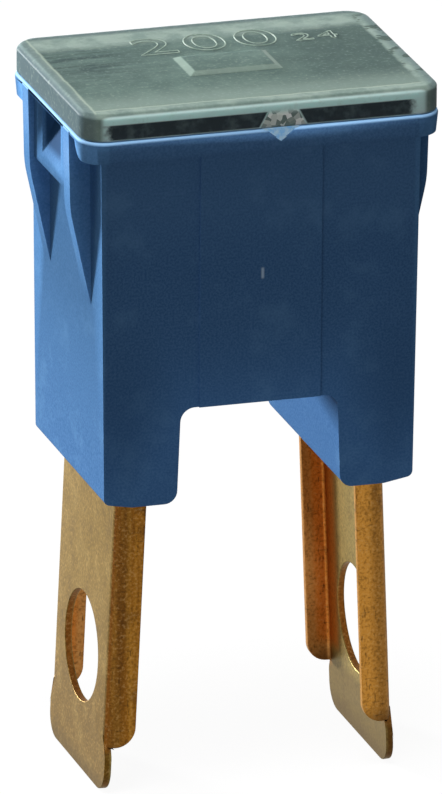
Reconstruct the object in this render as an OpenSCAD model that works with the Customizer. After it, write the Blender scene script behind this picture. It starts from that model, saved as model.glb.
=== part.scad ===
// Bolt-in fusible link: a moulded case with two hollow legs, a clear clip-on cover,
// two folded copper blades, and the element with its tin pellet that joins them inside.
// Millimetres. The origin is on the floor plane that the blade tips stand on, midway
// between them. X runs across the blades, -Y is the front, +Z is up.

/* [Case] */
// Width of the case across both legs, at the foot of the legs
case_w = 21.7; // [20:0.1:24]
// Depth of the case, front to back
case_d = 16.2; // [15:0.1:19]
// Height of the case, from the foot of its legs to the top of its collar
case_h = 26.2; // [24:0.1:30]
// Thickness of the case's narrow walls
case_wall = 1.4; // [1:0.1:1.7]
// Thickness of the chamber's floor, above the gap between the legs
floor_t = 1.4; // [1:0.1:2.5]
// Room in the chamber on each side of a blade's channel
chamber_play = 0.25; // [0.1:0.05:0.4]
// Draft of the two narrow sides, in degrees
case_draft = 0.7; // [0:0.1:1.2]
// Width of the gap between the legs, at its top
gap_w = 11.0; // [9:0.1:11.6]
// Height of the gap between the legs
gap_h = 6.7; // [5:0.1:8.5]
// Amount that each side of the gap leans outwards at the foot
gap_lean = 0.25; // [0:0.05:0.4]
// Radius of the gap's two upper corners
gap_r = 1.0; // [0.3:0.1:1.6]
// Radius of the inner corners at the foot of the legs
foot_r = 0.9; // [0.3:0.1:1.3]
// Height by which the foot of a leg rises towards its outer corner
foot_rise = 0.35; // [0.1:0.05:0.6]
// Width of the part of the foot that rises
foot_rise_w = 2.0; // [1:0.1:2.6]
// Radius of the outer corners at the foot of the legs
heel_r = 0.45; // [0.2:0.05:0.6]
// Width of the raised panel on the middle of the front and the back
panel_w = 8.5; // [5:0.1:10]
// Height that the panel stands proud of the wall
panel_h = 0.15; // [0.1:0.05:0.4]

/* [Collar] */
// Overhang of the collar beyond the narrow sides
collar_side = 1.42; // [1.1:0.01:1.8]
// Overhang of the collar beyond the front and the back
collar_front = 0.87; // [0.5:0.01:1.2]
// Radius of the collar's corners, seen from above
collar_r = 1.9; // [1.2:0.1:2.5]
// Height of the collar's lip along the front and the back
lip_h = 1.6; // [1.2:0.1:2.2]
// Distance that the front lip runs round each corner onto the narrow side
lip_return = 2.3; // [2:0.05:2.8]
// Radius under the end of the front lip
lip_r = 1.25; // [0.6:0.05:1.4]
// Amount by which the lip draws in below the rim
lip_in = 0.12; // [0.04:0.02:0.3]
// Thickness of the rim that closes the collar above the narrow sides
rim_t = 0.35; // [0.3:0.05:0.6]
// Thickness of the collar's wall in front of and behind the chamber
collar_wall = 1.05; // [0.8:0.05:1.3]
// Width of the pry notch in the collar's front edge
pry_w = 2.6; // [1.5:0.1:4]
// Depth of the pry notch
pry_depth = 0.9; // [0.5:0.1:1.2]
// Offset of the pry notch from the middle, towards +X
pry_x = 1.1; // [0:0.1:3]

/* [Side frames] */
// Distance from the middle to the inner face of each side rib
rib_y = 4.1; // [3.4:0.05:4.5]
// Width of each side rib
rib_w = 1.35; // [1:0.05:1.8]
// Distance that the ribs stand proud of the collar
rib_proud = 0.05; // [0:0.05:0.2]
// Amount by which the ribs draw in between the collar and their bend
rib_lean = 0.15; // [0.05:0.05:0.3]
// Height of the ribs' tips above the foot
rib_tip_z = 13.65; // [10:0.05:16]
// Height above the foot of the bend at which the ribs slope inwards
rib_slope_z = 20.4; // [18:0.05:21]
// Radius of the ribs' bend
rib_bend_r = 8; // [2:0.5:10]
// Recess of the strap between the ribs
strap_in = 0.38; // [0.1:0.02:0.5]
// Height of the strap's lower edge above the foot
strap_z = 21.25; // [20:0.05:22]
// Height of the bar under the window
bar_h = 0.9; // [0.6:0.05:1.2]
// Width of the window in the strap
window_w = 4.3; // [3:0.1:5]
// Depth of the window at its top, where the snap leg hangs
window_depth = 1.5; // [1.45:0.01:1.6]

/* [Cover] */
// Thickness of the cover's top
cover_t = 0.9; // [0.6:0.05:1.3]
// Height of the cover's skirt
skirt_h = 1.0; // [0.7:0.05:1.6]
// Thickness of the cover's skirt
skirt_t = 1.05; // [0.8:0.05:1.2]
// Distance that the cover stands in from the collar's edge
cover_in = 0.1; // [0:0.05:0.2]
// Bevel round the cover's top edge
cover_bevel = 0.3; // [0.1:0.05:0.5]
// Width of the cover's two snap legs
snap_w = 3.8; // [2:0.1:4]
// Thickness of the snap legs
snap_t = 0.7; // [0.5:0.05:0.75]
// Reach of the snap legs below the rim
snap_drop = 0.9; // [0.7:0.05:1]
// Catch that each snap leg has under the rim
snap_catch = 0.25; // [0.1:0.05:0.3]
// Length of the raised pad on the cover
pad_w = 6.6; // [4:0.1:9]
// Width of the raised pad
pad_d = 4.2; // [3:0.1:6]
// Height of the raised pad
pad_h = 0.25; // [0.1:0.05:0.5]
// Distance of the raised pad's centre in front of the cover's centre
pad_y = 0.4; // [0:0.1:2]
// Width at the foot of the wedge behind the cover's pry point
pry_block_w = 3.4; // [2:0.1:5]

/* [Blades] */
// Thickness of the blades' sheet
sheet_t = 0.5; // [0.4:0.05:0.8]
// Outer width of the folded channel
channel_w = 12.9; // [11:0.1:13.2]
// Outer depth of the folded channel
channel_d = 2.1; // [1.8:0.1:2.6]
// Outer radius of the folds
fold_r = 0.75; // [0.7:0.05:1]
// Distance from a leg's outer face to the blade in it
blade_in = 1.4; // [1.2:0.05:1.7]
// Length of the blade below the case
blade_out = 21.1; // [17:0.05:26]
// Length of the blade inside the case
blade_root = 14.5; // [13.5:0.1:16]
// Length of the flat tab beyond the end of the flanges
tab_l = 3.3; // [2:0.1:4.5]
// Length of the tab's shoulder below the end of the flanges
shoulder_low = 0.7; // [0.3:0.1:1]
// Length of the tab's shoulder above the end of the flanges
shoulder_high = 1.1; // [0.5:0.1:2]
// Radius of the tab's shoulders
shoulder_r = 1.0; // [0.5:0.1:1.5]
// Radius of the tab's corners
tab_r = 1.6; // [0.8:0.1:2.5]
// Radius of the flanges' lower corners
flange_r = 1.4; // [0.5:0.1:1.4]
// Diameter of the bolt hole
bolt_hole = 7.7; // [6:0.1:8.4]
// Distance from the bolt hole's centre to the end of the tab
bolt_up = 8.5; // [7:0.1:10]
// Angle at which the blades spread outwards below the case
splay = 2.4; // [0:0.1:4]
// Length of the feet by which a blade stands on the chamber's floor
foot_l = 0.8; // [0.5:0.1:1.2]

/* [Element] */
// Thickness of the fusible element
element_t = 0.35; // [0.25:0.05:0.5]
// Width of the element at its ends
element_w = 4.0; // [3:0.1:5]
// Width of the element's narrow middle
neck_w = 1.8; // [1.2:0.1:2.4]
// Length of the element's narrow middle
neck_l = 6.0; // [4:0.1:8]
// Height of the element's crown above the top of the blades
crown_h = 4.2; // [3:0.1:6]
// Outer radius of the element's bends
element_r = 1.5; // [1:0.1:2]
// Length of each clamped end of the element
lap_l = 4.0; // [3:0.1:5]
// Height of the claws that clamp an end
claw_h = 1.6; // [1:0.1:2.4]
// Thickness of the claws
claw_t = 0.4; // [0.3:0.05:0.5]
// Length of the tin pellet
pellet_l = 2.4; // [1.5:0.1:3.5]
// Width of the tin pellet
pellet_w = 3.0; // [2.6:0.1:4]
// Height of the tin pellet
pellet_h = 1.8; // [1.2:0.1:2.4]

/* [Hidden] */
$fn = 48;
corner_steps = 8;       // flats in each rounded corner of an outline
cut = 0.5;              // how far a cut runs past the face that it opens
clear = 0.05;           // gap between a piece and the moulding that holds it
snap_clear = 0.05;      // gap round a snap leg
bend_drop = 0.15;       // how far below the leg's foot a blade bends

blade_low = blade_out - bend_drop;          // length of a blade below its bend
// The tips of the spread blades are on the floor, so this is the height of the legs' foot.
foot_z = bend_drop + blade_low * cos(splay) + sheet_t * sin(splay);
wall_x = case_w / 2;
function side_x(z) = wall_x + z * tan(case_draft);
collar_w = 2 * (side_x(case_h) + collar_side);
collar_d = case_d + 2 * collar_front;
chamber_x = wall_x - case_wall;
chamber_y = channel_w / 2 + chamber_play;
chamber_z = gap_h + floor_t;
blade_x = wall_x - blade_in;                // outer face of a blade's web
rib_x = collar_w / 2 + rib_proud;           // outer face of the ribs, at the collar
strap_x = rib_x - rib_lean / 2 - strap_in;  // outer face of the strap
window_z = strap_z + bar_h;
rim_z = case_h - rim_t;
slot_x = strap_x - window_depth;            // inner face of the window's top
well_x = slot_x - 0.4;                      // chamber's widened mouth stops short of it
well_y = collar_d / 2 - collar_wall;
snap_x = slot_x + window_depth * (snap_drop + snap_clear) / (rim_z - window_z) + snap_clear;
cover_w = collar_w - 2 * cover_in;
cover_d = collar_d - 2 * cover_in;
cover_r = collar_r - cover_in;
element_x = blade_x - sheet_t;              // the element lies on the web's inner face
element_z = blade_root + crown_h;           // top of the element's crown
lap_z = blade_root - lap_l;                 // lower end of the element

function unit(v) = v / norm(v);
function turned(v, a) = [v.x * cos(a) - v.y * sin(a), v.x * sin(a) + v.y * cos(a)];

// Points of the round of radius r that replaces corner b of an outline a, b, c.
function corner(a, b, c, r) =
    let (
        u = unit(a - b),
        v = unit(c - b),
        half = acos(u * v) / 2,
        centre = b + unit(u + v) * r / sin(half),
        from = b + u * r / tan(half) - centre,
        to = b + v * r / tan(half) - centre,
        turn = sign(cross(from, to)) * (180 - 2 * half)
    )
    [for (i = [0:corner_steps]) centre + turned(from, turn * i / corner_steps)];

// Outline through the given corners, each with its own radius, or 0 for a sharp one.
function rounded(points, radii) =
    let (n = len(points))
    [for (i = [0:n - 1])
        each radii[i] > 0
            ? corner(points[(i + n - 1) % n], points[i], points[(i + 1) % n], radii[i])
            : [points[i]]];

module rounded_rect(w, d, r) {
    square([w - 2 * r, d], center = true);
    square([w, d - 2 * r], center = true);
    for (x = [-1, 1], y = [-1, 1])
        translate([x * (w / 2 - r), y * (d / 2 - r)])
            circle(r);
}

// Extrudes an outline drawn in X and Z over a depth in Y, centred on the plane y.
module across(depth, y = 0) {
    translate([0, y, 0])
        rotate([90, 0, 0])
            linear_extrude(depth, center = true)
                children();
}

// Extrudes an outline drawn in Y and Z over a width in X, from x to x + width.
module along(width, x = 0) {
    translate([x, 0, 0])
        rotate([90, 0, 90])
            linear_extrude(width)
                children();
}

module both_sides() {
    children();
    mirror([1, 0, 0])
        children();
}

module front_and_back() {
    children();
    mirror([0, 1, 0])
        children();
}

// ---- Case ----

// Legs and body in one outline. The narrow sides draw in towards the foot.
module case_body() {
    across(case_d)
        polygon(rounded(
            [[-wall_x, foot_rise], [foot_rise_w - wall_x, 0], [-gap_w / 2 - gap_lean, 0],
             [-gap_w / 2, gap_h], [gap_w / 2, gap_h],
             [gap_w / 2 + gap_lean, 0], [wall_x - foot_rise_w, 0], [wall_x, foot_rise],
             [side_x(case_h), case_h], [-side_x(case_h), case_h]],
            [heel_r, foot_r, foot_r, gap_r, gap_r, foot_r, foot_r, heel_r, 0, 0]));
}

module front_panel() {
    translate([-panel_w / 2, -case_d / 2 - panel_h, gap_h])
        cube([panel_w, panel_h + case_wall / 2, case_h - lip_h / 2 - gap_h]);
}

// Whole outline of the rim and the lip. The lip draws in below the rim.
module collar_block() {
    hull() {
        translate([0, 0, rim_z])
            linear_extrude(rim_t)
                rounded_rect(collar_w, collar_d, collar_r);
        translate([0, 0, case_h - lip_h])
            linear_extrude(rim_t)
                rounded_rect(collar_w - 2 * lip_in, collar_d - 2 * lip_in, collar_r - lip_in);
    }
}

// The lip along the front, round each corner and over a run of the narrow side, where it
// ends in a round of radius r.
module lip(run, r) {
    intersection() {
        collar_block();
        along(collar_w, -collar_w / 2)
            polygon(rounded(
                [[-collar_d / 2, case_h - lip_h], [run - collar_d / 2, case_h - lip_h],
                 [run - collar_d / 2, case_h], [-collar_d / 2, case_h]],
                [0, r, 0, 0]));
    }
}

// The rim runs all round. Below it the front lip ends free, and the back lip runs up to
// the ribs.
module collar() {
    translate([0, 0, rim_z])
        linear_extrude(rim_t)
            rounded_rect(collar_w, collar_d, collar_r);
    lip(lip_return, lip_r);
    mirror([0, 1, 0])
        lip(collar_d / 2 - rib_y - rib_w / 2, 0);
}

// One rib: leaning in a little below the collar, then sloping into the wall.
module side_rib(y) {
    across(rib_w, y)
        polygon(rounded(
            [[-chamber_x - case_wall / 2, rib_tip_z], [-side_x(rib_tip_z), rib_tip_z],
             [rib_lean - rib_x, rib_slope_z], [-rib_x, case_h - rim_t / 2],
             [-chamber_x - case_wall / 2, case_h - rim_t / 2]],
            [0, 0, rib_bend_r, 0, 0]));
}

module side_strap() {
    translate([-strap_x, -rib_y - rib_w / 2, strap_z])
        cube([strap_x - chamber_x - case_wall / 2, 2 * rib_y + rib_w, rim_z + rim_t / 2 - strap_z]);
}

// Window in the strap. Its floor slopes in towards the top, where the rim's slot lets
// the cover's snap leg through.
module side_window() {
    across(window_w)
        polygon([[-strap_x - cut, window_z], [-strap_x, window_z], [-slot_x, rim_z],
                 [-strap_x - cut, rim_z]]);
    across(snap_w + 2 * snap_clear)
        polygon([[-snap_x - snap_t - snap_clear, rim_z - snap_drop / 2], [-slot_x, rim_z - rim_t / 4],
                 [-slot_x, case_h + cut], [-snap_x - snap_t - snap_clear, case_h + cut]]);
}

module chamber() {
    translate([-chamber_x, -chamber_y, chamber_z])
        cube([2 * chamber_x, 2 * chamber_y, case_h + cut - chamber_z]);
    translate([-well_x, -well_y, case_h - lip_h])
        cube([2 * well_x, 2 * well_y, lip_h + cut]);
}

// Passage up through one leg, round the folded channel of its blade.
module blade_passage() {
    translate([-blade_x - clear, -channel_w / 2 - clear, -cut])
        cube([channel_d + 2 * clear, channel_w + 2 * clear, chamber_z + 2 * cut]);
}

// A V that rises towards the back, so that a blade tip slides under the cover.
module pry_notch() {
    reach = pry_depth * cos(45);
    translate([pry_x, -collar_d / 2, case_h])
        rotate([45, 0, 0])
            across(2 * collar_r)
                polygon([[0, -reach], [pry_w / 2, 0], [pry_w / 2, collar_r], [-pry_w / 2, collar_r],
                         [-pry_w / 2, 0]]);
}

module housing() {
    color([0.16, 0.34, 0.55])
        translate([0, 0, foot_z])
            difference() {
                union() {
                    case_body();
                    collar();
                    front_and_back()
                        front_panel();
                    both_sides() {
                        side_rib(rib_y + rib_w / 2);
                        side_rib(-rib_y - rib_w / 2);
                        side_strap();
                    }
                }
                chamber();
                both_sides() {
                    blade_passage();
                    side_window();
                }
                pry_notch();
            }
}

// ---- Cover ----

module cover_shell() {
    top = skirt_h + cover_t;
    hull() {
        linear_extrude(top - cover_bevel)
            rounded_rect(cover_w, cover_d, cover_r);
        linear_extrude(top)
            rounded_rect(cover_w - 2 * cover_bevel, cover_d - 2 * cover_bevel, cover_r - cover_bevel);
    }
}

module cover_hollow() {
    translate([0, 0, -cut])
        linear_extrude(skirt_h + cut)
            square([cover_w - 2 * skirt_t, cover_d - 2 * skirt_t], center = true);
}

// Wedge of solid plastic behind the point where the cover is pried off.
module pry_block() {
    across(skirt_t, -cover_d / 2 + 1.5 * skirt_t - clear)
        polygon([[pry_x - pry_block_w / 2, 0], [pry_x + pry_block_w / 2, 0],
                 [pry_x + pry_block_w / 3, skirt_h + cover_t / 2],
                 [pry_x - pry_block_w / 3, skirt_h + cover_t / 2]]);
}

// Leg that hangs through the rim, with a catch under it.
module snap_leg() {
    inner = -snap_x;
    outer = inner - snap_t;
    hook = -rim_t - snap_clear;
    across(snap_w)
        polygon([[inner, skirt_h + cover_t / 2], [inner, -rim_t - snap_drop],
                 [outer + snap_t / 3, -rim_t - snap_drop], [outer - snap_catch, hook - snap_drop / 3],
                 [outer - snap_catch, hook], [outer, hook], [outer, skirt_h + cover_t / 2]]);
}

module raised_pad() {
    translate([0, -pad_y, skirt_h + cover_t])
        hull() {
            translate([0, 0, -cover_t / 2])
                linear_extrude(cover_t / 2)
                    square([pad_w, pad_d], center = true);
            linear_extrude(pad_h)
                square([pad_w - 4 * pad_h, pad_d - 4 * pad_h], center = true);
        }
}

module cover() {
    color([0.62, 0.68, 0.62, 0.5])
        translate([0, 0, foot_z + case_h]) {
            difference() {
                cover_shell();
                cover_hollow();
            }
            pry_block();
            both_sides()
                snap_leg();
            raised_pad();
        }
}

// ---- Blades ----

// Plan of the folded channel: web's outer face on x = 0, flanges towards +X. It runs
// along the outer side and back along the inner one, with as many points on each.
function channel_plan() =
    let (
        half = channel_w / 2,
        inner = half - sheet_t,
        inner_r = fold_r - sheet_t
    )
    rounded(
        [[channel_d, half], [0, half], [0, -half], [channel_d, -half],
         [channel_d, -inner], [sheet_t, -inner], [sheet_t, inner], [channel_d, inner]],
        [0, fold_r, fold_r, 0, 0, inner_r, inner_r, 0]);

// Turns a point of the root into the frame of the straight part below the bend.
function from_root(p) =
    [p.x * cos(splay) - p.z * sin(splay), p.y, p.z * cos(splay) + p.x * sin(splay)];

// The channel from its lower end, through the bend below the leg's foot, to its top. The
// bend's ring lies in the plane that halves the angle between the two straights. It is
// drawn as the part below the bend hangs, and the root leans in above it.
module channel() {
    plan = channel_plan();
    n = len(plan);
    low = [for (p = plan) [p.x, p.y, tab_l - blade_low]];
    bend = [for (p = plan) [p.x, p.y, p.x * tan(splay / 2)]];
    top = [for (p = plan) from_root([p.x, p.y, blade_root + bend_drop])];
    end_cap = [for (i = [0:n / 2 - 2]) [i, i + 1, n - 2 - i, n - 1 - i]];
    polyhedron(
        points = concat(low, bend, top),
        faces = concat(
            end_cap,
            [for (k = [0, n], i = [0:n - 1]) [k + i, k + n + i, k + n + (i + 1) % n, k + (i + 1) % n]],
            [for (f = end_cap) [for (i = [3:-1:0]) 2 * n + f[i]]]));
}

// The flat tab at the blade's end. Its shoulders narrow into the folds.
module tab() {
    half = channel_w / 2;
    flat = half - fold_r;
    end = -blade_low;
    low = end + tab_l - shoulder_low;
    high = end + tab_l + shoulder_high;
    along(sheet_t)
        polygon(rounded(
            [[-half, end], [half, end], [half, low], [flat, high], [-flat, high], [-half, low]],
            [tab_r, tab_r, shoulder_r, 0, 0, shoulder_r]));
}

module bolt_hole_cut() {
    translate([-cut, 0, bolt_up - blade_low])
        rotate([0, 90, 0])
            cylinder(d = bolt_hole, h = sheet_t + 2 * cut);
}

// Takes the lower free corner off both flanges.
module flange_round() {
    across(2 * channel_w)
        translate([channel_d - flange_r, tab_l - blade_low])
            difference() {
                translate([0, -cut])
                    square(flange_r + cut);
                translate([0, flange_r])
                    circle(flange_r);
            }
}

// One claw of the pair that clamps the end of the element.
module claw() {
    z = lap_z + (lap_l - claw_h) / 2;
    translate([sheet_t / 2, element_w / 2, z])
        cube([sheet_t / 2 + element_t + claw_t, claw_t, claw_h]);
    translate([sheet_t + element_t, element_w / 4, z])
        cube([claw_t, element_w / 4 + claw_t, claw_h]);
}

// Foot bent out from a flange, standing on the chamber's floor.
module stop_foot() {
    translate([channel_d / 2, channel_w / 2 - sheet_t - fold_r, chamber_z])
        cube([channel_d / 2 + foot_l, sheet_t + fold_r, sheet_t]);
}

module blade() {
    translate([-blade_x, 0, foot_z - bend_drop])
        rotate([0, splay, 0])
            difference() {
                union() {
                    channel();
                    tab();
                    rotate([0, -splay, 0])
                        translate([0, 0, bend_drop])
                            front_and_back() {
                                claw();
                                stop_foot();
                            }
                }
                bolt_hole_cut();
                flange_round();
            }
}

module left_blade() {
    color([0.72, 0.53, 0.30])
        blade();
}

module right_blade() {
    color([0.72, 0.53, 0.30])
        mirror([1, 0, 0])
            blade();
}

// ---- Element ----

module element_arch(inset, low) {
    x = element_x - inset;
    r = element_r - inset;
    polygon(rounded(
        [[-x, low], [x, low], [x, element_z - inset], [-x, element_z - inset]],
        [0, 0, r, r]));
}

// Rounded notches in both edges leave the narrow middle.
module neck_cut() {
    deep = (element_w - neck_w) / 2;
    for (y = [-1, 1])
        translate([0, y * element_w / 2, element_z - element_r])
            linear_extrude(element_r + cut) {
                square([neck_l - 2 * deep, 2 * deep], center = true);
                for (x = [-1, 1])
                    translate([x * (neck_l / 2 - deep), 0])
                        circle(deep);
            }
}

module fuse_element() {
    color([0.75, 0.60, 0.40])
        translate([0, 0, foot_z])
            difference() {
                across(element_w)
                    difference() {
                        element_arch(0, lap_z);
                        element_arch(element_t, lap_z - cut);
                    }
                neck_cut();
            }
}

module tin_pellet() {
    r = pellet_h / 4;
    color([0.80, 0.81, 0.82])
        translate([0, 0, foot_z + element_z - element_t / 2])
            along(pellet_l, -pellet_l / 2)
                difference() {
                    rounded_rect(pellet_w, pellet_h, r);
                    square([neck_w, element_t], center = true);
                }
}

housing();
cover();
left_blade();
right_blade();
fuse_element();
tin_pellet();
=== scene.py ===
"""Bolt-in fusible link: moulded blue case, hazy clear cover, two folded copper blades.

The scene is in metres, in the row frame: Z up from the blade tips, -Y the front. Sizes
and places on the part are written in millimetres.
"""

import math

import bmesh
import bpy
from mathutils import Matrix, Vector


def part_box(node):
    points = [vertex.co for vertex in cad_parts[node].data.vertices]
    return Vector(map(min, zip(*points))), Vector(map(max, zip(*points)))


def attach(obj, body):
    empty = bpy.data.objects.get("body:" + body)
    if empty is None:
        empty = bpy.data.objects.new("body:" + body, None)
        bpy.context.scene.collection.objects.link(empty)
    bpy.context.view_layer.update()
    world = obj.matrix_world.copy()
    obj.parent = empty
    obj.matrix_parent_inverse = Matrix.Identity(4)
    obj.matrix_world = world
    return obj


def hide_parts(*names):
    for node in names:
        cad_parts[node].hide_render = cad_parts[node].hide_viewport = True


MM = 0.001

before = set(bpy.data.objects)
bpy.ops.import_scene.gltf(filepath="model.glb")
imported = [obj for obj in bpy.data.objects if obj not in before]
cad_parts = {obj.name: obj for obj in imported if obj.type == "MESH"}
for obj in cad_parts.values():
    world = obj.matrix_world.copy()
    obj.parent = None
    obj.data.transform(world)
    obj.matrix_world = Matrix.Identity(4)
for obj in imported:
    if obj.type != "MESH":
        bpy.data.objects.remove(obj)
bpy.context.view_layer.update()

# ---- Sizes and places on the part, in millimetres ----

CASE_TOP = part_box("cover")[1].z / MM - 2.15  # top of the collar, on which the cover stands
CASE_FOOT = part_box("housing")[0].z / MM      # foot of the legs
SIDE_X = 10.8                                # about the middle of the case's narrow walls
COLLAR_ROUND = 1.9                           # radius of the collar's corners
COLLAR_MIDDLE = (10.69, 7.07)                # middle of a corner's round, in X and Y
WELL_X, WELL_Y = 10.6, 7.0                   # the well in the collar reaches at least this far
STRAP_X = 12.18                              # outer face of the strap
SNAP_WINDOW = 22.15                          # lower edge of the strap's window, above the foot
PRY_X, PRY_HALF, PRY_DEEP = 1.1, 1.3, 0.95   # middle, half width and depth of the pry notch
NICK_X, NICK_Z = (0.02, 0.2), (36.55, 37.3)  # reach of the nick in the front

COVER_TOP = CASE_TOP + 1.9                   # the cover's flat top, round its pad
PANE_LEFT, PANE_RIGHT = -11.6, 11.2          # the part of the top that is open underneath
PANE_FRONT = -7.85
DARK_X = (-10.9, 10.3)                       # ends of the dark lengths of the front skirt
CLEAR_X = (-0.05, 2.6)                       # the clear wedge between them
DARK_LOW, DARK_HIGH = 0.09, 1.13             # their reach above the collar

SPLAY = 2.4                                  # degrees by which a blade leans outwards
BEND_DROP = 0.15                             # its bend, below the foot
BLADE_FACE = 9.45                            # its outer face, at the bend
OUTSIDE = 3.0                                # how far above the foot its edges may still show

# ---- Small tools ----


def linear(code):
    """An sRGB hex colour as linear RGBA."""
    def turn(v):
        return v / 12.92 if v <= 0.04045 else ((v + 0.055) / 1.055) ** 2.4
    return tuple(turn(int(code[i:i + 2], 16) / 255) for i in (1, 3, 5)) + (1.0,)


def per_mm(size):
    """Texture scale, in Object coordinates, at which one feature is that many mm wide."""
    return 1 / (size * MM)


def add(tree, kind, inputs=None, **settings):
    """One node. An input is a plain value, a node, whose first output it then takes, or
    (node, output)."""
    made = tree.nodes.new(kind)
    for name, value in settings.items():
        setattr(made, name, value)
    for name, value in (inputs or {}).items():
        linked = isinstance(value, tuple) and isinstance(value[0], bpy.types.Node)
        source, output = value if linked else (value, 0)
        if isinstance(source, bpy.types.Node):
            tree.links.new(source.outputs[output], made.inputs[name])
        else:
            made.inputs[name].default_value = value
    return made


def new_material(name):
    """An empty material and its node tree."""
    material = bpy.data.materials.new(name)
    material.use_nodes = True
    material.node_tree.nodes.clear()
    return material, material.node_tree


def surface(tree, **inputs):
    """The material's shader, joined to its output. In a name, _ stands for a space."""
    spaced = {name.replace("_", " "): value for name, value in inputs.items()}
    shader = add(tree, "ShaderNodeBsdfPrincipled", spaced)
    add(tree, "ShaderNodeOutputMaterial", {"Surface": shader})


def where(tree):
    """X, Y and Z of the surface point, in millimetres."""
    coords = add(tree, "ShaderNodeTexCoord")
    scaled = add(tree, "ShaderNodeVectorMath", {0: (coords, "Object"), "Scale": 1 / MM}, operation="SCALE")
    parts = add(tree, "ShaderNodeSeparateXYZ", {"Vector": scaled})
    return tuple((parts, axis) for axis in "XYZ")


def grain(tree, size, detail=3.0, roughness=0.6, stretch=(1, 1, 1)):
    """Noise whose features are size mm wide, drawn out by stretch along each axis."""
    coords = add(tree, "ShaderNodeTexCoord")
    drawn = add(tree, "ShaderNodeMapping",
                {"Vector": (coords, "Object"), "Scale": tuple(1 / v for v in stretch)})
    return add(tree, "ShaderNodeTexNoise",
               {"Vector": drawn, "Scale": per_mm(size), "Detail": detail, "Roughness": roughness})


def mask(tree, *limits):
    """The limits multiplied. A limit is a node, a number, (value, low, high), which rises
    smoothly from 0 at low to 1 at high, or (value, low, high, soft), which is 1 from low
    to high and fades to 0 over soft."""
    made = None
    for limit in limits:
        if isinstance(limit, tuple) and len(limit) == 4:
            value, low, high, soft = limit
            half = (high - low) / 2
            off = add(tree, "ShaderNodeMath", {0: value, 1: (low + high) / 2}, operation="SUBTRACT")
            size = add(tree, "ShaderNodeMath", {0: off}, operation="ABSOLUTE")
            limit = (size, half + soft / 2, half - soft / 2)
        if isinstance(limit, tuple):
            value, low, high = limit
            limit = add(tree, "ShaderNodeMapRange", {"Value": value, "From Min": low, "From Max": high},
                        interpolation_type="SMOOTHSTEP")
        if made is None:
            made = limit
        else:
            made = add(tree, "ShaderNodeMath", {0: made, 1: limit}, operation="MULTIPLY")
    return made


def layered(tree, colour, *layers):
    """Colours laid one on another. A layer is its colour and then its mask's limits."""
    for over, *limits in layers:
        lower, upper = (linear(c) if isinstance(c, str) else c for c in (colour, over))
        mixed = add(tree, "ShaderNodeMix", {"Factor": mask(tree, *limits), "A": lower, "B": upper},
                    data_type="RGBA")
        colour = (mixed, "Result")
    return colour


# ---- Materials ----


def moulded_polyamide():
    """Injection-moulded blue polyamide. The tool's eroded walls give a fine matt grain and a
    slightly cloudy colour. Handling leaves pale rubbed patches and a nick in the front. A
    highlight along the collar's rim is painted, and so are light and shade: the narrow walls
    paler higher up, the front paler towards the collar, the other faces darker lower down,
    and shade in the recess behind the snap leg."""
    material, tree = new_material("moulded_polyamide")
    x, y, z = where(tree)
    size_x = add(tree, "ShaderNodeMath", {0: x}, operation="ABSOLUTE")
    fine = grain(tree, 0.15)  # the real grain is finer, but would not show
    cloud = grain(tree, 2.4, 4.0)
    # where shade is painted in the recess behind the snap leg
    recess = mask(tree, (size_x, STRAP_X - 0.1, STRAP_X - 0.35), (size_x, SIDE_X - 0.5, SIDE_X - 0.2),
                  (y, -2.35, 2.35, 0.1), (z, CASE_FOOT + SNAP_WINDOW - 2.0, CASE_FOOT + SNAP_WINDOW - 1.8))
    tone = layered(
        tree, "#456FA0",
        ("#547FB1", (fine, 0.35, 0.65)),
        ("#6694C2", (cloud, 0.5, 0.75), 0.4),
        # painted light: the narrow walls paler higher up
        ("#6FAEE6", (size_x, SIDE_X - 0.1, SIDE_X + 0.1), (z, 20.0, 37.0), 0.2),
        # painted shade: the front, back and inner faces darker lower down
        ("#2F5687", (size_x, SIDE_X + 0.1, SIDE_X - 0.1), (z, 36.0, 26.0), 0.3),
        # painted light: the front paler towards the collar, against the shade under its lip
        ("#86B8EC", (y, -7.0, -7.3), (z, 37.0, 43.0), 0.12),
        # painted shade in the recess behind the snap leg
        ("#2B4D75", recess, 0.9),
        # painted highlight along the collar's rim
        ("#A2D2FF", (z, CASE_TOP - 0.3, CASE_TOP - 0.14)),
        ("#B9D3EE", (x, *NICK_X, 0.14), (z, *NICK_Z, 0.2), (y, -8.0, -8.2)))
    bump = add(tree, "ShaderNodeBump", {"Height": fine, "Strength": 0.3, "Distance": 0.02 * MM})
    surface(tree, Base_Color=tone, Normal=bump, Roughness=0.55, IOR=1.5, Specular_IOR_Level=0.004)
    return material


def notch_highlight_polyamide():
    """The same plastic in the pry notch, painted pale as a highlight where its slopes catch the light."""
    material, tree = new_material("notch_highlight_polyamide")
    tone = layered(tree, "#8ACBFF", ("#BFE4FF", (grain(tree, 0.4), 0.35, 0.65)))
    surface(tree, Base_Color=tone, Roughness=0.45, IOR=1.5, Specular_IOR_Level=0.6)
    return material


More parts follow.
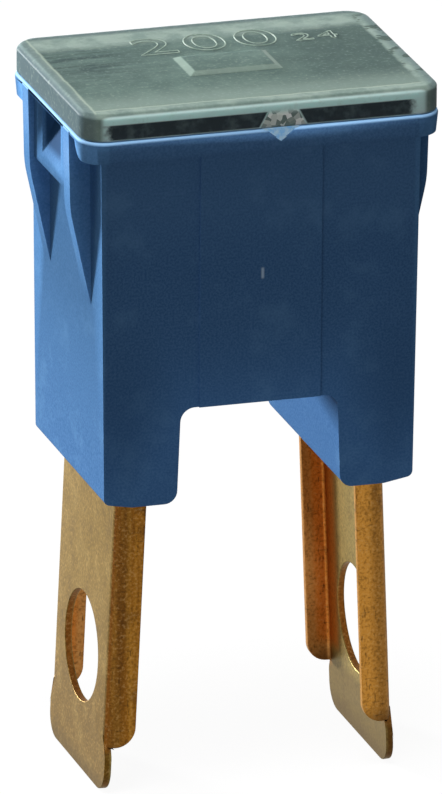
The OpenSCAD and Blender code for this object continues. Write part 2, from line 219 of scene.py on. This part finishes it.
def cloudy_polycarbonate():
    """Clear polycarbonate gone hazy. Light gathers in its solid skirt, painted as a pale band
    that frames the top, with the front skirt painted paler and the side skirts darker. The
    top is painted darker where the chamber is open under it. Two lengths of the front skirt
    are thin walls before the chamber, painted nearly black with its shade."""
    material, tree = new_material("cloudy_polycarbonate")
    x, y, z = where(tree)
    size_x = add(tree, "ShaderNodeMath", {0: x}, operation="ABSOLUTE")
    haze = grain(tree, 1.6, 4.0)
    fine = grain(tree, 0.3)
    drawn_streaks = grain(tree, 0.45, 3.0, 0.6, (9, 1, 1))  # streaks drawn out along X, in the painted shade over the chamber
    wander = add(tree, "ShaderNodeMath", {0: haze, 1: 0.35, 2: -0.17}, operation="MULTIPLY_ADD")
    loose_x, loose_y = (add(tree, "ShaderNodeMath", {0: v, 1: wander}, operation="ADD") for v in (x, y))
    top = mask(tree, (z, COVER_TOP - 0.12, COVER_TOP - 0.04))
    front = mask(tree, (y, -8.7, -8.84))

    band = layered(
        tree, "#788D86",
        ("#91A49B", (haze, 0.35, 0.65)),
        ("#5C6F6F", (loose_y, 7.6, 8.1), 0.9),
        ("#66797A", (size_x, 11.4, 12.0), 0.8),
        # painted shade: the side skirts darker
        ("#51656A", (size_x, 12.2, 12.42)),
        # painted light: the front skirt paler
        ("#CDE9E6", front))
    # painted shade: the top darker where the chamber is open under it, and darker still in streaks at the
    # left
    centre = layered(
        tree, "#566B66",
        ("#627871", (haze, 0.35, 0.65)),
        ("#3A4A4A", (x, 1.0, 8.0), 0.55),
        ("#2E3D42", (x, -1.0, -10.0), (y, -5.0, 2.0), (drawn_streaks, 0.3, 0.7), 0.75),
        ("#82968D", (y, -3.5, -7.5), 0.7))

    # The pane is the part of the top over the chamber, and pale lines edge it.
    across = mask(tree, (loose_x, PANE_LEFT, PANE_RIGHT, 0.35))
    line_x = mask(tree, (loose_x, PANE_LEFT - 0.15, PANE_LEFT), (loose_x, PANE_LEFT + 0.15, PANE_LEFT), top)
    line_y = mask(tree, (loose_y, PANE_FRONT - 0.15, PANE_FRONT), (loose_y, PANE_FRONT + 0.15, PANE_FRONT),
                  top, across)
    lines = add(tree, "ShaderNodeMath", {0: line_x, 1: line_y}, operation="MAXIMUM")

    # The wedge behind the pry notch stays clear, with slanted ends and painted, broken glints.
    clear_half = (CLEAR_X[1] - CLEAR_X[0]) / 2
    slant = 0.55
    spread = add(tree, "ShaderNodeMath", {0: z, 1: slant, 2: -slant * (CASE_TOP + 0.6)},
                 operation="MULTIPLY_ADD")
    off = add(tree, "ShaderNodeMath", {0: x, 1: sum(CLEAR_X) / 2}, operation="SUBTRACT")
    size_off = add(tree, "ShaderNodeMath", {0: off}, operation="ABSOLUTE")
    from_clear = add(tree, "ShaderNodeMath", {0: size_off, 1: spread}, operation="ADD")
    coords = add(tree, "ShaderNodeTexCoord")
    facets = add(tree, "ShaderNodeTexVoronoi", {"Vector": (coords, "Object"), "Scale": per_mm(0.36)})
    broken_glints = layered(tree, "#7C8F8A", ("#F4FAF4", ((facets, "Color"), 0.2, 0.75)))
    # painted shade of the chamber, for the two dark lengths of the front skirt
    chamber_shade = layered(tree, "#38444A", ("#566669", (grain(tree, 0.9), 0.45, 0.75)))
    ragged = add(tree, "ShaderNodeMath", {0: grain(tree, 0.7, 4.0), 1: 1.6, 2: -0.8},
                 operation="MULTIPLY_ADD")
    ends = add(tree, "ShaderNodeMath", {0: x, 1: ragged}, operation="ADD")

    tone = layered(
        tree, band,
        (centre, top, across, (loose_y, PANE_FRONT - 0.2, PANE_FRONT + 0.15), (loose_y, 6.3, 4.6)),
        ("#B7C6B4", lines, 0.5),
        ("#35453F", (x, 10.9, 11.4), (grain(tree, 1.1, 2.0), 0.52, 0.6), (y, -6.5, 7.5, 1.0), 0.75),
        ("#A9BDB0", (fine, 0.5, 0.8), 0.3),
        # painted light: the sloped sides of the top's pad paler, where they catch the light
        ("#9DB0A4", (z, COVER_TOP + 0.03, COVER_TOP + 0.23, 0.04), 0.5),
        (broken_glints, (from_clear, clear_half + 0.05, clear_half - 0.1), front,
         (z, CASE_TOP + DARK_HIGH + 0.2, CASE_TOP + DARK_HIGH - 0.3)),
        # painted shade: the dark lengths of the front skirt
        (chamber_shade, (from_clear, clear_half, clear_half + 0.15), front, (ends, *DARK_X, 0.8),
         (z, CASE_TOP + DARK_LOW, CASE_TOP + DARK_HIGH, 0.1)))
    bump = add(tree, "ShaderNodeBump", {"Height": fine, "Strength": 0.25, "Distance": 0.02 * MM})
    surface(tree, Base_Color=tone, Normal=bump, Roughness=0.5, IOR=1.58, Specular_IOR_Level=0.004,
            Transmission_Weight=0.1, Subsurface_Weight=1.0, Subsurface_Radius=(1.0, 1.0, 1.0),
            Subsurface_Scale=0.8 * MM)
    return material


def ridged_polycarbonate():
    """The thin raised outlines of the cover's numerals, which catch the light."""
    material, tree = new_material("ridged_polycarbonate")
    tone = layered(tree, "#8CA196", ("#A9BCAF", (grain(tree, 0.6), 0.35, 0.65)))
    surface(tree, Base_Color=tone, Roughness=0.35, IOR=1.58, Specular_IOR_Level=0.05)
    return material


def tarnished_copper():
    """Rolled copper alloy, stamped and folded, handled and lightly oxidised: satin tan on the
    webs, brown on the folded flanges and a painted orange reflection inside the back folds,
    where the metal mirrors itself. Painted shade darkens the flanges' bends and the lower
    ends, and painted light brightens the right blade's flanges. Dark specks, fine marks and
    stains lie all over it."""
    material, tree = new_material("tarnished_copper")
    x, y, z = where(tree)
    size_x, size_y = (add(tree, "ShaderNodeMath", {0: v}, operation="ABSOLUTE") for v in (x, y))
    speck = grain(tree, 0.2, 2.0, 0.6)
    cloud = grain(tree, 2.0, 5.0, 0.65)
    scratch = grain(tree, 0.13, 2.0, 0.5, (1, 1, 5))
    dash = grain(tree, 0.16, 2.0, 0.5, (5, 5, 1))
    roll = grain(tree, 0.5, 2.0, 0.5, (1, 1, 30))  # streaks along the length

    lean = math.tan(math.radians(SPLAY))
    face = add(tree, "ShaderNodeMath",
               {0: z, 1: -lean, 2: BLADE_FACE + lean * (CASE_FOOT - BEND_DROP)}, operation="MULTIPLY_ADD")
    inward = add(tree, "ShaderNodeMath", {0: face, 1: size_x}, operation="SUBTRACT")  # from the outer face
    inner = mask(tree, (inward, 0.3, 0.42))
    past = add(tree, "ShaderNodeMath", {0: inner, 1: 0.5, 2: size_y}, operation="MULTIPLY_ADD")
    fold = mask(tree, (past, 5.75, 6.4), (z, 2.6, 3.4))
    worn = add(tree, "ShaderNodeMath", {0: mask(tree, (size_y, 5.4, 6.2)), 1: 0.4, 2: 0.1},
               operation="MULTIPLY_ADD")

    web = layered(
        tree, "#60430D",
        ("#6D521A", (z, 3.0, 16.0)),
        ("#7E6C38", inner),
        ("#8D7440", (cloud, 0.45, 0.7), 0.35),
        ("#503610", (cloud, 0.48, 0.3), 0.45))
    flange = layered(
        tree, "#80500F",
        ("#9A6A22", (roll, 0.35, 0.65)),
        # painted light: the right blade's flanges paler
        ("#BE8434", (x, 2.0, 4.0), 0.8),
        # painted shade in the bend of each flange
        ("#432609", (inward, 0.1, 1.1, 0.9), 0.5),
        ("#3A2108", (inward, 2.35, 2.8), 0.6),
        ("#432609", (cloud, 0.52, 0.72), 0.6),
        ("#AE763A", (y, 5.0, 5.8), inner))
    tone = layered(
        tree, web,
        (flange, fold),
        # painted reflection: orange inside the back folds, where the metal mirrors itself
        ("#BC691A", (y, 3.4, 4.6), inner, (inward, 1.7, 1.2), (z, 4.2, 5.2), 0.7),
        ("#7E4710", (inward, 0.06, 0.44, 0.06), (size_y, 6.4, 6.0), 0.8),
        ("#2E1B08", (scratch, 0.62, 0.74), 0.6),
        ("#2E1B08", (dash, 0.61, 0.72), worn),
        ("#3A240C", (speck, 0.5, 0.32), 0.4),
        ("#C9A46A", (speck, 0.5, 0.72), 0.22),
        # painted shade: darker towards the tips, and the right blade darker low down
        ("#3F280C", (z, 1.6, 0.2), 0.6),
        ("#432609", (x, 2.0, 4.0), (z, 4.6, 3.4), 0.6))
    bump = add(tree, "ShaderNodeBump", {"Height": speck, "Strength": 0.25, "Distance": 0.02 * MM})
    surface(tree, Base_Color=tone, Normal=bump, Metallic=0.85, Roughness=0.42,
            Specular_Tint=linear("#F6F2DD"))
    return material


def element_alloy():
    """Thin rolled copper alloy strip, clean because it is sealed in."""
    material, tree = new_material("element_alloy")
    tone = layered(tree, "#A67C4E", ("#CDA778", grain(tree, 0.4)))
    surface(tree, Base_Color=tone, Metallic=1.0, Roughness=0.35)
    return material


def cast_tin():
    """A drop of tin cast round the element: pale and satin, with a soft skin."""
    material, tree = new_material("cast_tin")
    skin = grain(tree, 0.5, 2.0)
    tone = layered(tree, "#A9ABAD", ("#C9CBCC", skin))
    bump = add(tree, "ShaderNodeBump", {"Height": skin, "Strength": 0.3, "Distance": 0.03 * MM})
    surface(tree, Base_Color=tone, Normal=bump, Metallic=1.0, Roughness=0.4)
    return material


CASE_PLASTIC = moulded_polyamide()
NOTCH_PLASTIC = notch_highlight_polyamide()
COVER_PLASTIC = cloudy_polycarbonate()
RIDGE_PLASTIC = ridged_polycarbonate()
COPPER = tarnished_copper()
ELEMENT = element_alloy()
TIN = cast_tin()

# ---- Making and shading meshes ----


def link(obj):
    bpy.context.scene.collection.objects.link(obj)
    return obj


def finished(obj):
    """Turns the object with its modifiers into a plain mesh."""
    graph = bpy.context.evaluated_depsgraph_get()
    mesh = bpy.data.meshes.new_from_object(obj.evaluated_get(graph))
    obj.modifiers.clear()
    obj.data = mesh


def shade(obj, angle=35):
    """Smooth shading, with edges sharper than the angle kept."""
    for face in obj.data.polygons:
        face.use_smooth = True
    obj.data.set_sharp_from_angle(angle=math.radians(angle))


def eased(obj, width, picks=None, angle=30):
    """Rounds the sharp edges, or those of them that picks chooses, as moulding or
    stamping leaves them. The flats keep their own shading up to the rounds."""
    form = bmesh.new()
    form.from_mesh(obj.data)
    weight = form.edges.layers.float.new("bevel_weight_edge")
    for edge in form.edges:
        sharp = len(edge.link_faces) == 2 and edge.calc_face_angle() > math.radians(angle)
        edge[weight] = float(sharp and (picks is None or picks(edge)))
    form.to_mesh(obj.data)
    form.free()
    bevel = obj.modifiers.new("edges", "BEVEL")
    bevel.width = width * MM
    bevel.segments = 2
    bevel.limit_method = "WEIGHT"
    bevel.harden_normals = True
    bevel.use_clamp_overlap = False
    finished(obj)


def solid_copy(node, name, material):
    """A copy of a CAD node as one merged mesh with its flat faces whole."""
    obj = link(bpy.data.objects.new(name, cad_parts[node].data.copy()))
    obj.data.materials.clear()
    obj.data.materials.append(material)
    form = bmesh.new()
    form.from_mesh(obj.data)
    bmesh.ops.remove_doubles(form, verts=form.verts, dist=0.002 * MM)
    bmesh.ops.dissolve_limit(form, angle_limit=math.radians(0.3), verts=form.verts, edges=form.edges)
    form.to_mesh(obj.data)
    form.free()
    return obj


def place(obj, node=None):
    """Fixes a piece to the root body, in place of the CAD node if one is named."""
    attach(obj, "root")
    if node:
        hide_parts(node)


# ---- Case ----


def collar_top(edge):
    """Whether the edge lies on the collar's top: its rim and the edges of the pry notch
    and of the snap legs' slots, but not the edge of the well."""
    for vert in edge.verts:
        x, y, z = (abs(v) / MM for v in vert.co)
        from_corner = math.hypot(x - COLLAR_MIDDLE[0], y - COLLAR_MIDDLE[1])
        over_well = x < WELL_X and y < WELL_Y
        if abs(z - CASE_TOP) > 0.02 or from_corner < COLLAR_ROUND - 0.05 or over_well:
            return False
    return True


def notch_facet():
    """The slope inside the pry notch, a thin three-cornered block painted pale as a highlight."""
    left, tip, right = ((PRY_X - PRY_HALF, CASE_TOP - 0.01), (PRY_X, CASE_TOP - PRY_DEEP),
                        (PRY_X + PRY_HALF, CASE_TOP - 0.01))
    back_y, top_y, tip_y = -8.7, -8.89, -8.96
    form = bmesh.new()
    near = [form.verts.new(Vector((x, y, z)) * MM)
            for (x, z), y in ((left, top_y), (tip, tip_y), (right, top_y))]
    far = [form.verts.new(Vector((x, back_y, z)) * MM) for x, z in (left, tip, right)]
    form.faces.new(near)
    form.faces.new(far[::-1])
    for i in range(3):
        form.faces.new((near[i - 1], far[i - 1], far[i], near[i]))
    bmesh.ops.recalc_face_normals(form, faces=form.faces)
    mesh = bpy.data.meshes.new("notch_facet")
    form.to_mesh(mesh)
    form.free()
    mesh.materials.append(NOTCH_PLASTIC)
    place(link(bpy.data.objects.new("notch_facet", mesh)))


case = solid_copy("housing", "case_moulding", CASE_PLASTIC)
shade(case)
eased(case, 0.28, collar_top)
place(case, "housing")
notch_facet()

# ---- Blades ----


def outside(edge):
    """Whether the edge lies on the part of a blade that stands out of the case."""
    return all(v.co.z / MM < CASE_FOOT + OUTSIDE for v in edge.verts)


for side in ("left", "right"):
    strip = solid_copy(side + "_blade", side + "_blade_stamping", COPPER)
    shade(strip)
    eased(strip, 0.05, outside)
    place(strip, side + "_blade")

# ---- Cover ----

cover = solid_copy("cover", "cover_moulding", COVER_PLASTIC)
shade(cover, 20)
eased(cover, 0.1, angle=20)
place(cover, "cover")


def raised_outline():
    """Node tree that lays a half-sunk bead along the outlines of raised numerals."""
    tree = bpy.data.node_groups.new("raised_outline", "GeometryNodeTree")
    face = tree.interface
    face.new_socket("Geometry", in_out="OUTPUT", socket_type="NodeSocketGeometry")
    kinds = {"Geometry": "Geometry", "Text": "String", "Size": "Float", "Spacing": "Float",
             "Place": "Vector", "Stretch": "Vector", "Bead": "Float", "Material": "Material"}
    made = {name: face.new_socket(name, in_out="INPUT", socket_type="NodeSocket" + kind)
            for name, kind in kinds.items()}
    given = add(tree, "NodeGroupInput")
    text = add(tree, "GeometryNodeStringToCurves",
               {"String": (given, "Text"), "Size": (given, "Size"), "Character Spacing": (given, "Spacing")})
    curves = add(tree, "GeometryNodeRealizeInstances", {"Geometry": text})
    laid = add(tree, "GeometryNodeTransform",
               {"Geometry": curves, "Translation": (given, "Place"), "Scale": (given, "Stretch")})
    even = add(tree, "GeometryNodeResampleCurve", {"Curve": laid, "Length": 0.12 * MM}, mode="LENGTH")
    ring = add(tree, "GeometryNodeCurvePrimitiveCircle", {"Resolution": 8, "Radius": (given, "Bead")})
    bead = add(tree, "GeometryNodeCurveToMesh", {"Curve": even, "Profile Curve": ring})
    real = add(tree, "GeometryNodeRealizeInstances", {"Geometry": bead})
    skin = add(tree, "GeometryNodeSetMaterial", {"Geometry": real, "Material": (given, "Material")})
    add(tree, "NodeGroupOutput", {"Geometry": skin})
    return tree, {name: socket.identifier for name, socket in made.items()}


OUTLINE, SOCKET = raised_outline()


def numerals(name, text, size, spacing, corner, widen):
    """Plain raised numerals on the cover. The corner is the text's lower left."""
    obj = link(bpy.data.objects.new(name, bpy.data.meshes.new(name)))
    lay = obj.modifiers.new("outline", "NODES")
    lay.node_group = OUTLINE
    for key, value in {"Text": text, "Size": size * MM, "Spacing": spacing,
                       "Place": (corner[0] * MM, corner[1] * MM, COVER_TOP * MM),
                       "Stretch": (widen, 1.0, 1.0), "Bead": 0.05 * MM, "Material": RIDGE_PLASTIC}.items():
        lay[SOCKET[key]] = value
    finished(obj)
    shade(obj, 60)
    place(obj)


numerals("numerals_large", "200", size=4.9, spacing=1.15, corner=(-5.3, 2.75), widen=1.27)
numerals("numerals_small", "24", size=2.1, spacing=1.2, corner=(5.8, 3.05), widen=1.4)

# ---- Element and pellet, which stay the CAD nodes ----

for node, finish in (("fuse_element", ELEMENT), ("tin_pellet", TIN)):
    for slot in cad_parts[node].material_slots:
        slot.material = finish

# ---- Floor, world and lamps ----


def background_ray(tree):
    """1 for the rays that show the background: direct, reflected and seen through."""
    path = add(tree, "ShaderNodeLightPath")
    direct = add(tree, "ShaderNodeMath",
                 {0: (path, "Is Camera Ray"), 1: (path, "Is Glossy Ray")}, operation="MAXIMUM")
    return add(tree, "ShaderNodeMath", {0: direct, 1: (path, "Is Transmission Ray")}, operation="MAXIMUM")


def studio_floor():
    """Pale paper. It looks white, keeps the object's shadow, and throws little light back."""
    form = bmesh.new()
    bmesh.ops.create_grid(form, x_segments=1, y_segments=1, size=2.5)
    mesh = bpy.data.meshes.new("studio_floor")
    form.to_mesh(mesh)
    form.free()
    material, tree = new_material("pale_paper")
    lit = add(tree, "ShaderNodeBsdfPrincipled", {"Base Color": linear("#5A5A5A"), "Roughness": 0.9})
    white = add(tree, "ShaderNodeEmission", {"Color": (1, 1, 1, 1), "Strength": 0.94})
    shaded = add(tree, "ShaderNodeBsdfDiffuse", {"Color": linear("#484848")})
    seen = add(tree, "ShaderNodeAddShader", {0: white, 1: shaded})
    chosen = add(tree, "ShaderNodeMixShader", {"Fac": background_ray(tree), 1: lit, 2: seen})
    add(tree, "ShaderNodeOutputMaterial", {"Surface": chosen})
    mesh.materials.append(material)
    link(bpy.data.objects.new("studio_floor", mesh))


def studio_world():
    """White where it is seen, and a dim even light otherwise."""
    world = bpy.data.worlds.new("studio")
    world.use_nodes = True
    tree = world.node_tree
    tree.nodes.clear()
    strength = add(tree, "ShaderNodeMapRange", {"Value": background_ray(tree), "To Min": 0.09, "To Max": 1.0})
    light = add(tree, "ShaderNodeBackground", {"Color": (1, 1, 1, 1), "Strength": strength})
    add(tree, "ShaderNodeOutputWorld", {"Surface": light})
    bpy.context.scene.world = world


def softbox(name, towards, distance, size, power):
    """A square lamp, seen from the part in the given direction and aimed at it. The
    distance and the size are in metres."""
    lamp = bpy.data.lights.new(name, "AREA")
    lamp.shape = "SQUARE"
    lamp.size = size
    lamp.energy = power
    obj = link(bpy.data.objects.new(name, lamp))
    way = Vector(towards).normalized()
    obj.location = Vector((0, 0, 25 * MM)) + way * distance
    obj.rotation_euler = way.to_track_quat("Z", "Y").to_euler()


studio_floor()
studio_world()
softbox("key", (-0.475, 0.88, 0.10), distance=0.9, size=0.12, power=18.5)
softbox("top", (-0.12, -0.15, 1.0), distance=0.8, size=0.30, power=5.5)
softbox("fill", (-0.55, -0.80, 0.15), distance=0.8, size=0.50, power=0.9)

# ---- Camera ----


def camera(azimuth, elevation, roll, distance, lens, aim):
    """A camera at that distance from the point it aims at. Angles are in degrees."""
    a, e, r = (math.radians(v) for v in (azimuth, elevation, roll))
    back = Vector((-math.sin(a) * math.cos(e), -math.cos(a) * math.cos(e), math.sin(e)))
    right = (-back).cross(Vector((0, 0, 1))).normalized()
    up = right.cross(-back)
    across = right * math.cos(r) + up * math.sin(r)
    above = up * math.cos(r) - right * math.sin(r)
    data = bpy.data.cameras.new("view")
    data.sensor_fit = "VERTICAL"
    data.sensor_height = 36.0
    data.lens = lens
    data.clip_end = 10.0
    obj = link(bpy.data.objects.new("view", data))
    pose = Matrix((across, above, back)).transposed().to_4x4()
    pose.translation = Vector(aim) * MM + back * distance * MM
    obj.matrix_world = pose
    bpy.context.scene.camera = obj


camera(azimuth=17.285, elevation=19.355, roll=0.422, distance=956.0, lens=641.06,
       aim=(-0.18, 0.0, CASE_FOOT + 4.277))
bpy.context.scene.view_settings.view_transform = "Standard"
